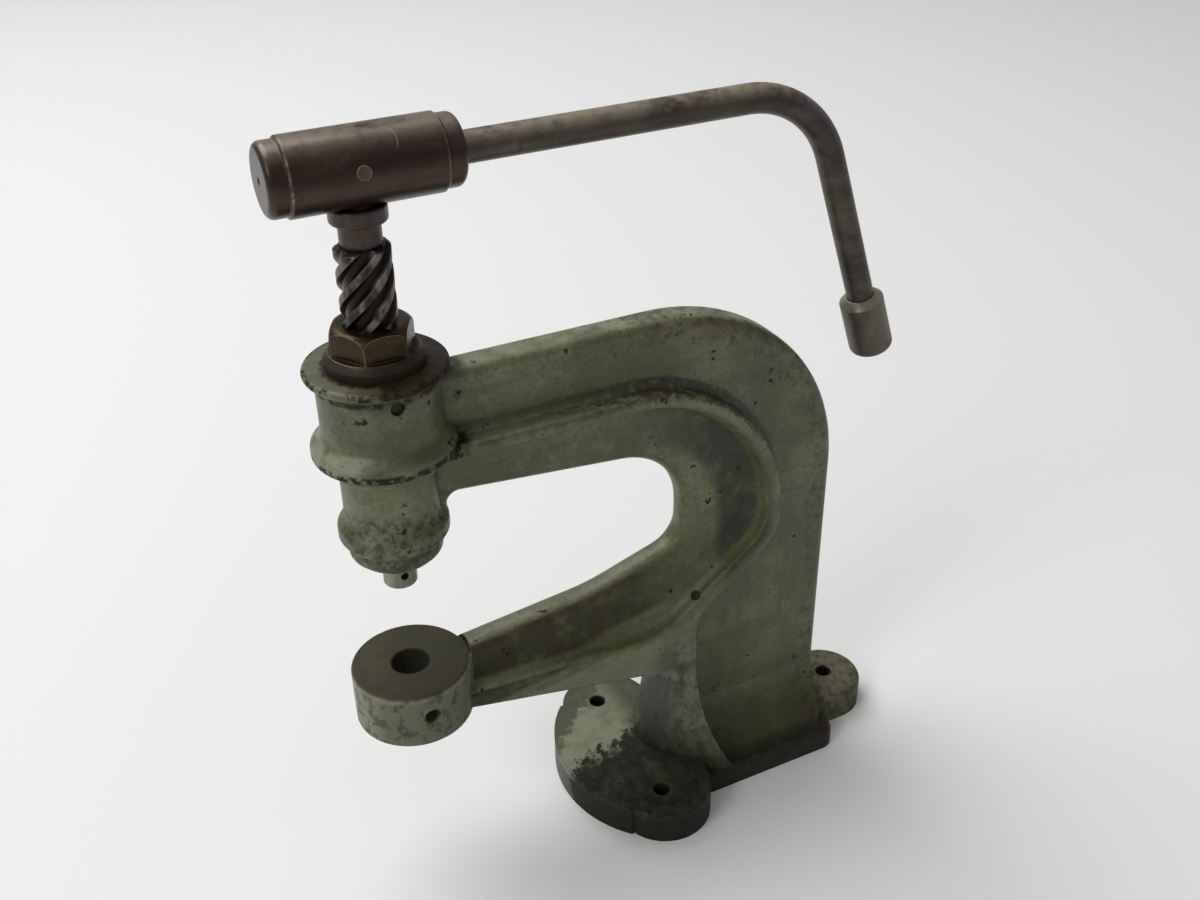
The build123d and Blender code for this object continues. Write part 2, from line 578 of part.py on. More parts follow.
def thread_bar(bottom, top, clearance):
    """Twisted six-start bar. Its phase depends on height alone, so nut and spindle agree."""
    crest = THREAD_CREST_RADIUS + clearance
    root = THREAD_ROOT_RADIUS + clearance
    pitch = FULL_TURN / THREAD_STARTS
    widening = degrees(clearance / THREAD_CREST_RADIUS)
    crest_half = pitch * THREAD_CREST_SHARE / 2 + widening
    root_half = pitch * THREAD_ROOT_SHARE / 2 - widening

    def on(radius, angle):
        return (radius * cos(radians(angle)), radius * sin(radians(angle)))

    edges = []
    for start in range(THREAD_STARTS):
        middle = start * pitch
        valley = middle + pitch / 2
        crest_end = on(crest, middle + crest_half)
        root_start = on(root, valley - root_half)
        root_end = on(root, valley + root_half)
        next_crest = on(crest, middle + pitch - crest_half)
        edges += [
            ThreePointArc(on(crest, middle - crest_half), on(crest, middle), crest_end).edge(),
            Line(crest_end, root_start).edge(),
            ThreePointArc(root_start, on(root, valley), root_end).edge(),
            Line(root_end, next_crest).edge(),
        ]
    profile = Rot(0, 0, FULL_TURN * bottom / THREAD_LEAD) * Pos(0, 0, bottom) * Face(Wire(edges))
    twist = FULL_TURN * (top - bottom) / THREAD_LEAD
    bar = Solid.extrude_linear_with_rotation(profile, (0, 0, bottom), (0, 0, top - bottom), twist)
    return RAM_AXIS * bar


def screw_nut():
    """Bronze nut: spigot in the head, collar on its flange, six flats and a domed top."""
    collar_top = HEAD_TOP + NUT_COLLAR_HEIGHT
    points = (
        (0, NUT_BOTTOM),
        (NUT_SPIGOT_RADIUS, NUT_BOTTOM),
        (NUT_SPIGOT_RADIUS, HEAD_TOP),
        (NUT_COLLAR_RADIUS, HEAD_TOP),
        (NUT_COLLAR_RADIUS, collar_top),
        (NUT_BODY_RADIUS, collar_top + NUT_SHOULDER_RISE),
        (NUT_BODY_RADIUS, NUT_TOP),
        (0, NUT_TOP),
    )
    nut = turned(points, (0, 0, 0, 0, 0, 0, NUT_DOME, 0))
    flats_bottom = HEAD_TOP + NUT_FLATS_BOTTOM
    flats = RegularPolygon(NUT_FLATS_SHARE * NUT_BODY_RADIUS, NUT_FLAT_COUNT, major_radius=False,
                           rotation=NUT_FLATS_ANGLE)
    ring = Circle(NUT_COLLAR_RADIUS + OVERRUN) - flats
    nut -= Pos(RAM_X, 0, flats_bottom) * extrude(ring, amount=NUT_TOP_HEIGHT)
    return nut - thread_bar(NUT_BOTTOM - OVERRUN, NUT_TOP + OVERRUN, THREAD_CLEARANCE)


def nut_lock_screw():
    """Grub screw below the top flange that bears on the nut's spigot."""
    start = -HEAD_BARREL_RADIUS + LOCK_SCREW_RECESS
    return rod_y(LOCK_SCREW_DIAMETER / 2, start, -NUT_SPIGOT_RADIUS - SEAT_CLEARANCE, RAM_X,
                 LOCK_SCREW_HEIGHT)


def ram_guide_screw():
    """Dog-point grub screw in the far side of the head; its tip runs in the ram's keyway."""
    body_start = RAM_RADIUS + RUNNING_CLEARANCE
    screw = rod_y(GUIDE_SCREW_DIAMETER / 2, body_start, HEAD_NECK_RADIUS, RAM_X, GUIDE_SCREW_HEIGHT)
    tip_start = RAM_RADIUS - KEYWAY_DEPTH + GUIDE_TIP_CLEARANCE
    tip_radius = KEYWAY_WIDTH / 2 - GUIDE_TIP_CLEARANCE
    return screw + rod_y(tip_radius, tip_start, body_start, RAM_X, GUIDE_SCREW_HEIGHT)


def retaining_pin_places():
    """X places of the two pins that sit in the journal's groove."""
    reach = JOURNAL_GROOVE_RADIUS + RETAINING_PIN_DIAMETER / 2 + RUNNING_CLEARANCE
    return (RAM_X - reach, RAM_X + reach)


def ram():
    """Ram with tool nose, tool socket, keyway and the socket for the spindle's journal."""
    points = (
        (0, NOSE_BOTTOM),
        (NOSE_RADIUS, NOSE_BOTTOM),
        (NOSE_RADIUS, RAM_SHOULDER),
        (RAM_RADIUS, RAM_SHOULDER),
        (RAM_RADIUS, RAM_TOP),
        (0, RAM_TOP),
    )
    body = turned(points, (0, NOSE_ROUND, 0, RAM_CHAMFER, RAM_CHAMFER, 0))
    body -= rod_z(TOOL_SOCKET_DIAMETER / 2, NOSE_BOTTOM - OVERRUN, NOSE_BOTTOM + TOOL_SOCKET_DEPTH)
    body -= rod_y(TOOL_SCREW_HOLE_DIAMETER / 2, -NOSE_RADIUS - OVERRUN, 0, RAM_X,
                  NOSE_BOTTOM + TOOL_SCREW_RISE)
    body -= rod_z(JOURNAL_RADIUS + RUNNING_CLEARANCE, JOURNAL_BOTTOM - THRUST_CLEARANCE,
                  RAM_TOP + OVERRUN)
    key_bottom = GUIDE_SCREW_HEIGHT - KEYWAY_WIDTH / 2
    key_height = RAM_TOP + OVERRUN - key_bottom
    key_depth = KEYWAY_DEPTH + OVERRUN
    key_y = RAM_RADIUS - KEYWAY_DEPTH + key_depth / 2
    body -= Pos(RAM_X, key_y, key_bottom + key_height / 2) * Box(KEYWAY_WIDTH, key_depth, key_height)
    for x in retaining_pin_places():
        body -= rod_y(RETAINING_PIN_DIAMETER / 2, -RAM_RADIUS, RAM_RADIUS, x, RETAINING_PIN_HEIGHT)
    return body


def retaining_pin(x):
    """Pin across the ram that holds the spindle's journal in its socket."""
    edge = abs(x - RAM_X) + RETAINING_PIN_DIAMETER / 2
    half = RETAINING_PIN_SHARE * sqrt(RAM_RADIUS**2 - edge**2)
    return rod_y(RETAINING_PIN_DIAMETER / 2 - SEAT_CLEARANCE, -half, half, x, RETAINING_PIN_HEIGHT)


def screw_spindle():
    """Steep six-start screw with a journal below and a neck, collar and tenon above."""
    groove_half = RETAINING_PIN_DIAMETER / 2 + THRUST_CLEARANCE
    lower = turned(
        (
            (0, JOURNAL_BOTTOM),
            (JOURNAL_RADIUS, JOURNAL_BOTTOM),
            (JOURNAL_RADIUS, RETAINING_PIN_HEIGHT - groove_half),
            (JOURNAL_GROOVE_RADIUS, RETAINING_PIN_HEIGHT - groove_half),
            (JOURNAL_GROOVE_RADIUS, RETAINING_PIN_HEIGHT + groove_half),
            (JOURNAL_RADIUS, RETAINING_PIN_HEIGHT + groove_half),
            (JOURNAL_RADIUS, THREAD_BOTTOM + OVERRUN),
            (0, THREAD_BOTTOM + OVERRUN),
        ),
        0,
    )
    upper = turned(
        (
            (0, THREAD_TOP - OVERRUN),
            (NECK_RADIUS, THREAD_TOP - OVERRUN),
            (NECK_RADIUS, COLLAR_BOTTOM),
            (COLLAR_RADIUS, COLLAR_BOTTOM),
            (COLLAR_RADIUS, COLLAR_TOP),
            (TENON_RADIUS, COLLAR_TOP),
            (TENON_RADIUS, TENON_TOP),
            (0, TENON_TOP),
        ),
        (0, 0, 0, COLLAR_ROUND, COLLAR_ROUND, 0, TENON_CHAMFER, 0),
    )
    blank = turned(
        (
            (0, THREAD_BOTTOM),
            (THREAD_CREST_RADIUS - THREAD_CHAMFER, THREAD_BOTTOM),
            (THREAD_CREST_RADIUS + OVERRUN, THREAD_BOTTOM + THREAD_CHAMFER + OVERRUN),
            (THREAD_CREST_RADIUS + OVERRUN, THREAD_TOP - THREAD_CHAMFER - OVERRUN),
            (THREAD_CREST_RADIUS - THREAD_CHAMFER, THREAD_TOP),
            (0, THREAD_TOP),
        ),
        0,
    )
    thread = thread_bar(THREAD_BOTTOM, THREAD_TOP, 0) & blank
    spindle = lower + thread + upper
    return spindle - rod_y(HUB_PIN_DIAMETER / 2, -HUB_RADIUS, HUB_RADIUS, RAM_X, HUB_PIN_HEIGHT)


def handle_hub():
    """Cross hub with stepped ends, a blind hole for the tenon and one for the rod."""
    end_radius = HUB_RADIUS - HUB_END_STEP
    profile = FilletPolyline(
        (HUB_FRONT, 0),
        (HUB_FRONT, end_radius),
        (HUB_FRONT + HUB_END_LENGTH - HUB_END_STEP, end_radius),
        (HUB_FRONT + HUB_END_LENGTH, HUB_RADIUS),
        (HUB_BACK - HUB_END_LENGTH, HUB_RADIUS),
        (HUB_BACK - HUB_END_LENGTH + HUB_END_STEP, end_radius),
        (HUB_BACK, end_radius),
        (HUB_BACK, 0),
        radius=(0, HUB_END_ROUND, 0, 0, 0, 0, HUB_END_ROUND, 0),
        close=True,
    )
    hub = Pos(RAM_X, 0, HUB_HEIGHT) * revolve(Plane.XZ * make_face(profile), Axis.X)
    hub -= rod_z(COLLAR_RADIUS + HUB_SEAT_CLEARANCE, COLLAR_BOTTOM, COLLAR_TOP)
    hub -= rod_z(TENON_RADIUS + SEAT_CLEARANCE, COLLAR_BOTTOM, TENON_TOP + SEAT_CLEARANCE)
    hub -= rod_x(ROD_DIAMETER / 2 + SEAT_CLEARANCE, ROD_START - ROD_SOCKET_GAP, HUB_BACK + OVERRUN,
                 HUB_HEIGHT)
    hub -= rod_x(HUB_CENTRE_DIAMETER / 2, HUB_FRONT - OVERRUN, HUB_FRONT + HUB_CENTRE_DEPTH, HUB_HEIGHT)
    return hub - rod_y(HUB_PIN_DIAMETER / 2, -HUB_RADIUS - OVERRUN, HUB_RADIUS + OVERRUN, RAM_X,
                       HUB_PIN_HEIGHT)


def hub_pin():
    """Cross pin through hub and tenon, a hair proud at both ends."""
    half = HUB_RADIUS + HUB_PIN_PROUD
    return rod_y(HUB_PIN_DIAMETER / 2 - SEAT_CLEARANCE, -half, half, RAM_X, HUB_PIN_HEIGHT)


def leg_point(distance):
    """XZ point on the leg's centre line, measured down from the corner of the handle."""
    x = RAM_X + ROD_CORNER_X + distance * sin(radians(ROD_LEAN))
    return (x, HUB_HEIGHT - distance * cos(radians(ROD_LEAN)))


def handle_rod():
    """Round rod from the hub, bent down into a leg that leans away from the column."""
    start = (RAM_X + ROD_START, HUB_HEIGHT)
    corner = (RAM_X + ROD_CORNER_X, HUB_HEIGHT)
    end = leg_point(LEG_LENGTH - KNOB_LENGTH + KNOB_SOCKET_DEPTH - ROD_SOCKET_GAP)
    path = Plane.XZ * FilletPolyline(start, corner, end, radius=ROD_BEND_RADIUS)
    inner_end = Plane(origin=(RAM_X + ROD_START, 0, HUB_HEIGHT), z_dir=(1, 0, 0))
    return sweep(inner_end * Circle(ROD_DIAMETER / 2), path=path)


def handle_knob():
    """Plain turned knob on the end of the leg, chamfered above and rounded below."""
    radius = KNOB_DIAMETER / 2
    profile = FilletPolyline(
        (0, 0),
        (radius, 0),
        (radius, KNOB_LENGTH - KNOB_CHAMFER),
        (radius - KNOB_CHAMFER, KNOB_LENGTH),
        (0, KNOB_LENGTH),
        radius=(0, KNOB_ROUND, 0, 0, 0),
        close=True,
    )
    knob = revolve(Plane.XZ * make_face(profile), Axis.Z)
    socket = Cylinder(ROD_DIAMETER / 2 + SEAT_CLEARANCE, 2 * KNOB_SOCKET_DEPTH)
    knob -= Pos(0, 0, KNOB_LENGTH) * socket
    x, height = leg_point(LEG_LENGTH)
    return Pos(x, 0, height) * Rot(0, -ROD_LEAN, 0) * knob


def main():
    os.makedirs("parts", exist_ok=True)
    pins = retaining_pin_places()
    nodes = {
        "frame_casting": frame_casting(),
        "screw_nut": screw_nut(),
        "nut_lock_screw": nut_lock_screw(),
        "ram_guide_screw": ram_guide_screw(),
        "ram": ram(),
        "retaining_pin_front": retaining_pin(pins[0]),
        "retaining_pin_back": retaining_pin(pins[1]),
        "screw_spindle": screw_spindle(),
        "handle_hub": handle_hub(),
        "hub_pin": hub_pin(),
        "handle_rod": handle_rod(),
        "handle_knob": handle_knob(),
    }
    for name, shape in nodes.items():
        export_step(shape, f"parts/{name}.step")


main()
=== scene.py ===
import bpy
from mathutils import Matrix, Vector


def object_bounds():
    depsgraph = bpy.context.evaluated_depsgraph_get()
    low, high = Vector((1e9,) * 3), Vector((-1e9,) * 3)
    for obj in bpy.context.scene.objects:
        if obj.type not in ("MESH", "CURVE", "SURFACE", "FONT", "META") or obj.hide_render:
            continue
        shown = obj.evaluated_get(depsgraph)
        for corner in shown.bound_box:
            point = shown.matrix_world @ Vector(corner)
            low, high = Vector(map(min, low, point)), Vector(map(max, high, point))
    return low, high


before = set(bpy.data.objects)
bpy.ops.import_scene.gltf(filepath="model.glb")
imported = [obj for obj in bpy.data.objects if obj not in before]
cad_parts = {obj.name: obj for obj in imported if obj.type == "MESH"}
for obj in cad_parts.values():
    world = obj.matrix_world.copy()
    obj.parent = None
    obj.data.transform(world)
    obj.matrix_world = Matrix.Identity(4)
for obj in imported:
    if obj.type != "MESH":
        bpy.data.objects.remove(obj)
CAD_BOX = [list(corner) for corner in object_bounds()]

import math

import bmesh
import bpy
from mathutils import Matrix, Vector

MM = 0.001
RAM_X = -77.0 * MM
NODE_SAMPLES = 4

# Lines of the casting, each as corner X, corner Z and distance from it
SPINE_LINE = (-3.3 * MM, 107.0 * MM, 55.0 * MM)
BACK_LINE = (8.2 * MM, 114.2 * MM, 68.0 * MM)

# How far the edges of stains wander, and how far they are torn
WANDER_REACH = 35.0 * MM
TEAR_REACH = 22.0 * MM

# Camera of the photograph, in the shared frame
CAMERA_PLACE = Vector((-161.28, -310.10, 351.29)) * MM
CAMERA_YAW = 0.455415
CAMERA_PITCH = 0.549324
CAMERA_ROLL = -0.0172815
CAMERA_LENS = 39.12
CAMERA_SENSOR = 36.0


def srgb(red, green, blue):
    """Linear RGBA from 0-255 display values."""
    linear = []
    for value in (red, green, blue):
        v = value / 255.0
        linear.append(v / 12.92 if v <= 0.04045 else ((v + 0.055) / 1.055) ** 2.4)
    return tuple(linear) + (1.0,)


class Graph:
    """Builds one procedural material from object coordinates, in metres."""

    def __init__(self, name):
        self.material = bpy.data.materials.new(name)
        self.material.use_nodes = True
        self.tree = self.material.node_tree
        self.tree.nodes.clear()
        self.output = self.tree.nodes.new("ShaderNodeOutputMaterial")
        self.shader = self.tree.nodes.new("ShaderNodeBsdfPrincipled")
        self.link(self.shader.outputs["BSDF"], self.output.inputs["Surface"])
        coords = self.tree.nodes.new("ShaderNodeTexCoord")
        self.place = coords.outputs["Object"]
        self.normal = coords.outputs["Normal"]
        split = self.tree.nodes.new("ShaderNodeSeparateXYZ")
        self.link(self.place, split.inputs[0])
        self.x, self.y, self.z = split.outputs

    def link(self, source, target):
        self.tree.links.new(source, target)

    def feed(self, socket, value):
        """Links a socket, or sets a plain value on it."""
        if isinstance(value, bpy.types.NodeSocket):
            self.link(value, socket)
        else:
            socket.default_value = value

    def math(self, operation, first, second=0.0, clamp=False):
        node = self.tree.nodes.new("ShaderNodeMath")
        node.operation = operation
        node.use_clamp = clamp
        self.feed(node.inputs[0], first)
        self.feed(node.inputs[1], second)
        return node.outputs[0]

    def times(self, *factors):
        result = factors[0]
        for factor in factors[1:]:
            result = self.math("MULTIPLY", result, factor)
        return result

    def plus(self, first, second):
        return self.math("ADD", first, second)

    def most(self, first, second):
        return self.math("MAXIMUM", first, second)

    def invert(self, value):
        return self.math("SUBTRACT", 1.0, value, clamp=True)

    def step(self, value, low, high):
        """0 at low, 1 at high, smooth between; low may lie above high."""
        node = self.tree.nodes.new("ShaderNodeMapRange")
        node.interpolation_type = "SMOOTHSTEP"
        falling = low > high
        self.feed(node.inputs["Value"], value)
        node.inputs["From Min"].default_value = min(low, high)
        node.inputs["From Max"].default_value = max(low, high)
        node.inputs["To Min"].default_value = 1.0 if falling else 0.0
        node.inputs["To Max"].default_value = 0.0 if falling else 1.0
        return node.outputs[0]

    def band(self, value, low, high, soft):
        """1 between low and high, falling to 0 over the soft width outside."""
        rise = self.step(value, low - soft, low)
        fall = self.step(value, high + soft, high)
        return self.times(rise, fall)

    def span(self, value, low, high):
        """Straight map of a value to the given ends."""
        node = self.tree.nodes.new("ShaderNodeMapRange")
        self.feed(node.inputs["Value"], value)
        node.inputs["To Min"].default_value = low
        node.inputs["To Max"].default_value = high
        return node.outputs[0]

    def mix(self, factor, first, second):
        node = self.tree.nodes.new("ShaderNodeMix")
        node.data_type = "RGBA"
        self.feed(node.inputs["Factor"], factor)
        self.feed(node.inputs["A"], first)
        self.feed(node.inputs["B"], second)
        return node.outputs["Result"]

    def coat(self, color, tint, amount, *masks):
        """Lays a tint over a colour where all the masks are, as thick as the amount says."""
        return self.mix(self.times(*masks, amount), color, tint)

    def stretched(self, scale):
        """Object coordinates scaled unevenly, for streaks."""
        node = self.tree.nodes.new("ShaderNodeMapping")
        self.link(self.place, node.inputs["Vector"])
        node.inputs["Scale"].default_value = scale
        return node.outputs[0]

    def noise(self, scale, detail=3.0, rough=0.55, vector=None):
        node = self.tree.nodes.new("ShaderNodeTexNoise")
        self.link(self.place if vector is None else vector, node.inputs["Vector"])
        node.inputs["Scale"].default_value = scale
        node.inputs["Detail"].default_value = detail
        node.inputs["Roughness"].default_value = rough
        return node.outputs["Fac"]

    def cells(self, scale):
        """Distance to the nearest of scattered points."""
        node = self.tree.nodes.new("ShaderNodeTexVoronoi")
        self.link(self.place, node.inputs["Vector"])
        node.inputs["Scale"].default_value = scale
        return node.outputs["Distance"]

    def hollow(self, reach, inside=False):
        """1 deep in corners, 0 on open faces; from the inside, 1 along outer edges."""
        node = self.tree.nodes.new("ShaderNodeAmbientOcclusion")
        node.samples = NODE_SAMPLES
        node.only_local = True
        node.inside = inside
        node.inputs["Distance"].default_value = reach
        return self.invert(node.outputs["AO"])

    def edges(self, reach):
        """1 on corners and creases, 0 on flat faces."""
        bevel = self.tree.nodes.new("ShaderNodeBevel")
        bevel.samples = NODE_SAMPLES
        bevel.inputs["Radius"].default_value = reach
        geometry = self.tree.nodes.new("ShaderNodeNewGeometry")
        dot = self.tree.nodes.new("ShaderNodeVectorMath")
        dot.operation = "DOT_PRODUCT"
        self.link(bevel.outputs["Normal"], dot.inputs[0])
        self.link(geometry.outputs["Normal"], dot.inputs[1])
        return self.invert(dot.outputs["Value"])

    def facing(self, axis):
        """Part of the surface normal along an axis (0, 1 or 2), at rest."""
        split = self.tree.nodes.new("ShaderNodeSeparateXYZ")
        self.link(self.normal, split.inputs[0])
        return split.outputs[axis]

    def beyond(self, corner_x, corner_z, radius):
        """Distance outside an XZ line that runs level, turns down round a corner and drops."""
        over = self.most(self.math("SUBTRACT", self.x, corner_x), 0.0)
        above = self.most(self.math("SUBTRACT", self.z, corner_z), 0.0)
        length = self.math("SQRT", self.plus(self.times(over, over), self.times(above, above)))
        return self.math("SUBTRACT", length, radius)

    def from_axis(self, x=RAM_X, y=0.0):
        """Distance from an upright line, or from the ram axis."""
        dx = self.math("SUBTRACT", self.x, x)
        dy = self.math("SUBTRACT", self.y, y)
        return self.math("SQRT", self.plus(self.times(dx, dx), self.times(dy, dy)))

    def bump(self, height, strength, distance, under):
        node = self.tree.nodes.new("ShaderNodeBump")
        node.inputs["Strength"].default_value = strength
        node.inputs["Distance"].default_value = distance
        self.link(height, node.inputs["Height"])
        self.link(under, node.inputs["Normal"])
        return node.outputs["Normal"]

    def rounded_normal(self, reach):
        """Normal that turns softly over sharp edges, as a cast or painted surface does."""
        bevel = self.tree.nodes.new("ShaderNodeBevel")
        bevel.samples = NODE_SAMPLES
        bevel.inputs["Radius"].default_value = reach
        return bevel.outputs["Normal"]

    def finish(self, color, roughness, normal, metallic=0.0, specular=0.5):
        self.feed(self.shader.inputs["Base Color"], color)
        self.feed(self.shader.inputs["Roughness"], roughness)
        self.feed(self.shader.inputs["Metallic"], metallic)
        self.feed(self.shader.inputs["Specular IOR Level"], specular)
        self.link(normal, self.shader.inputs["Normal"])
        return self.material


class Masks:
    """Noises and regions of the casting that several coats share."""

    def __init__(self, g):
        self.broad = g.noise(28.0, 3.0)
        self.middle = g.noise(120.0, 4.0, 0.6)
        self.fine = g.noise(700.0, 4.0, 0.65)
        self.torn = g.noise(340.0, 5.0, 0.7)
        self.streak = g.noise(110.0, 4.0, 0.65, g.stretched((0.14, 1.0, 1.0)))
        self.ragged = g.plus(g.times(self.broad, 0.5), g.times(self.middle, 0.5))
        self.wander = g.times(g.math("SUBTRACT", self.ragged, 0.5), WANDER_REACH)
        self.tear = g.times(g.math("SUBTRACT", self.torn, 0.5), TEAR_REACH)
        self.off_spine = g.beyond(*SPINE_LINE)
        self.off_back = g.beyond(*BACK_LINE)
        self.sideways = g.step(g.math("ABSOLUTE", g.facing(1)), 0.45, 0.75)
        self.radius = g.from_axis()
        self.near_axis = g.step(self.radius, 26.0 * MM, 22.0 * MM)


def green_coats(g, m):
    """Sage green, paler on upper faces and darker with handling on the head."""
    color = g.mix(g.step(m.broad, 0.38, 0.62), srgb(106, 108, 79), srgb(84, 85, 53))
    color = g.coat(color, srgb(66, 66, 43), 0.5, g.step(m.streak, 0.46, 0.66))
    color = g.coat(color, srgb(126, 128, 101), 0.45, g.step(m.middle, 0.48, 0.72))
    color = g.coat(color, srgb(60, 60, 40), 0.45, g.step(m.fine, 0.46, 0.66))
    color = g.coat(color, srgb(56, 55, 38), 0.4, g.step(m.torn, 0.53, 0.66))
    upward = g.step(g.facing(2), 0.6, 0.95)
    top = g.times(upward, g.step(g.z, 90.0 * MM, 120.0 * MM), g.invert(m.near_axis))
    color = g.coat(color, srgb(146, 147, 126), 0.5, top, g.step(m.middle, 0.3, 0.6))
    head = g.times(m.near_axis, g.step(g.z, 150.0 * MM, 165.0 * MM))
    return g.coat(color, srgb(56, 56, 38), 0.45, head, g.step(m.streak, 0.3, 0.6))


def column_coats(g, m, color):
    """Column with drips, darker to its foot; painted grey shade in the cove inside the spine; olive
    outer web.
    """
    column = g.times(g.step(g.x, 20.0 * MM, 34.0 * MM), g.step(g.z, 128.0 * MM, 58.0 * MM))
    color = g.coat(color, srgb(68, 72, 40), 0.8, column, g.step(m.broad, 0.2, 0.6))
    drips = g.noise(100.0, 4.0, 0.65, g.stretched((1.0, 1.0, 0.3)))
    sides = g.times(column, m.sideways)
    color = g.coat(color, srgb(52, 54, 28), 0.55, sides, g.step(drips, 0.5, 0.64))
    color = g.coat(color, srgb(96, 99, 66), 0.35, sides, g.step(drips, 0.46, 0.34))

    # Painted shade: the concave cove inside the spine is darkened blue-grey, as shade and cool
    # reflection would darken it.
    over_fork = g.step(g.plus(g.z, g.times(g.x, -0.8)), 55.5 * MM, 62.5 * MM)
    inside_spine = g.band(m.off_spine, -18.0 * MM, -7.0 * MM, 5.0 * MM)
    cove_shade = g.times(inside_spine, g.step(g.x, -10.0 * MM, 30.0 * MM), over_fork)
    color = g.coat(color, srgb(46, 48, 40), 0.88, cove_shade, m.sideways, g.step(m.middle, 0.2, 0.6))

    outside = g.times(m.sideways, g.step(m.off_spine, 2.0 * MM, 7.0 * MM))
    corner = g.times(g.step(g.x, -35.0 * MM, 15.0 * MM), g.step(g.z, 90.0 * MM, 120.0 * MM))
    stained = g.step(m.ragged, 0.38, 0.6)
    return g.coat(color, srgb(60, 57, 33), 0.6, outside, corner, stained), cove_shade


def stand_coats(g, m, color):
    """Pedestal, grey-green and mottled, with painted shade on its far left side under the arm."""
    upright = g.times(g.step(g.z, 12.0 * MM, 18.0 * MM), g.step(g.z, 68.0 * MM, 58.0 * MM))
    stand = g.times(g.step(g.x, 26.0 * MM, 20.0 * MM), upright)
    mottled = g.mix(g.step(m.middle, 0.42, 0.6), srgb(102, 110, 92), srgb(54, 58, 44))
    color = g.coat(color, mottled, 0.8, stand)
    # Painted shade: left-facing faces of the far half darkened, as the arm shades them.
    leftward = g.step(g.facing(0), -0.3, -0.7)
    far_side = g.step(g.y, -19.0 * MM, -4.0 * MM)
    color = g.coat(color, srgb(38, 43, 36), 0.75, stand, far_side, leftward)
    return g.coat(color, srgb(44, 46, 35), 0.55, stand, g.step(m.torn, 0.5, 0.6))


def arm_coats(g, m, color):
    """Lower arm: recess darkened brown, paler flange below it."""
    line = g.plus(g.z, g.times(g.x, -0.18))
    level = g.band(line, 76.0 * MM, 93.5 * MM, 3.0 * MM)
    recess = g.times(g.step(g.x, 26.0 * MM, -4.0 * MM), level, m.sideways)
    color = g.coat(color, srgb(45, 41, 27), 0.88, recess, g.step(m.middle, 0.15, 0.6))
    below = g.times(g.step(line, 71.5 * MM, 69.5 * MM), g.step(g.z, 44.0 * MM, 50.0 * MM))
    flange = g.times(below, g.step(g.x, 12.0 * MM, 0.0), m.sideways)
    return g.coat(color, srgb(122, 127, 100), 0.5, flange, g.step(m.middle, 0.25, 0.6)), recess


def base_coats(g, m, color):
    """Base: pale patch on the far front lobe, dark grease and painted shade on the near one,
    painted shade with dirt on the side walls, mottled rear lug.
    """
    torn_edge = g.plus(m.wander, m.tear)
    low = g.step(g.plus(g.z, m.wander), 27.0 * MM, 10.0 * MM)
    shore = g.plus(g.plus(g.y, g.times(g.x, -0.33)), torn_edge)
    near = g.step(shore, 5.0 * MM, 1.0 * MM)
    # Dark grease and painted shade on the near lobe.
    grease_and_shade_tone = g.mix(g.step(g.noise(260.0, 4.0, 0.7), 0.44, 0.66), srgb(31, 30, 25), srgb(54, 52, 42))
    color = g.coat(color, srgb(64, 63, 46), 0.8, low)
    color = g.coat(color, grease_and_shade_tone, 0.9, low, near, g.step(g.x, 45.0 * MM, 12.0 * MM))
    # Painted shade with dirt: the base's low side walls darkened.
    walls = g.step(g.z, 10.5 * MM, 8.5 * MM)
    color = g.coat(color, srgb(34, 32, 25), 0.8, walls, g.step(m.torn, 0.25, 0.5))

    level = g.times(g.step(g.z, 9.5 * MM, 11.5 * MM), g.step(g.z, 30.0 * MM, 16.0 * MM))
    far_line = g.plus(g.plus(g.y, g.times(g.x, -1.1)), torn_edge)
    far_rim = g.step(far_line, 31.0 * MM, 35.0 * MM)
    front = g.step(g.x, 12.0 * MM, 0.0)
    pale = g.mix(g.step(m.middle, 0.4, 0.7), srgb(128, 131, 106), srgb(104, 107, 82))
    color = g.coat(color, pale, 0.95, front, level, g.invert(near), g.invert(far_rim))

    lug = g.times(g.step(g.x, 70.0 * MM, 78.0 * MM), low)
    color = g.coat(color, srgb(104, 103, 84), 0.75, lug, g.step(m.middle, 0.36, 0.56))
    color = g.coat(color, srgb(54, 51, 38), 0.6, lug, g.step(m.torn, 0.47, 0.58))
    return color, g.times(low, near)


def head_coats(g, m, color):
    """Head: oil round the nut and over the flange's far half, stained mouth, dirt and painted shade
    under the lip.
    """
    lip_bottom = 184.2 * MM
    ripple = g.plus(g.times(m.wander, 0.5), g.times(m.tear, 0.3))
    oil_line = g.plus(g.plus(g.x, g.times(g.y, -0.35)), ripple)
    far_half = g.step(oil_line, RAM_X + 1.5 * MM, RAM_X + 3.0 * MM)
    round_nut = g.step(g.plus(m.radius, g.times(m.tear, 0.2)), 15.8 * MM, 14.8 * MM)
    on_top = g.step(g.z, lip_bottom, lip_bottom + 2.0 * MM)
    oil = g.times(on_top, m.near_axis, g.most(far_half, round_nut))
    oily = g.mix(g.step(m.torn, 0.4, 0.62), srgb(31, 25, 14), srgb(50, 43, 27))
    color = g.coat(color, oily, 0.92, oil)

    below = g.step(g.plus(g.z, m.wander), 136.5 * MM, 127.5 * MM)
    mouth = g.times(below, g.step(g.z, 110.0 * MM, 118.0 * MM), m.near_axis)
    color = g.coat(color, srgb(44, 41, 29), 0.88, mouth, g.step(m.torn, 0.36, 0.52))
    ring = g.times(g.band(g.z, 126.0 * MM, 142.0 * MM, 4.0 * MM), m.near_axis)
    stains = g.times(ring, g.step(m.torn, 0.5, 0.57))
    color = g.coat(color, srgb(46, 43, 30), 0.55, stains)

    # Dirt and painted shade in the groove under the flange's lip.
    groove = g.times(g.band(g.z, lip_bottom - 1.8 * MM, lip_bottom, 0.8 * MM), m.near_axis)
    under_lip = g.times(groove, g.step(m.torn, 0.34, 0.54))
    color = g.coat(color, srgb(38, 34, 22), 0.85, under_lip)
    return color, oil, g.most(g.times(stains, 0.5), under_lip)


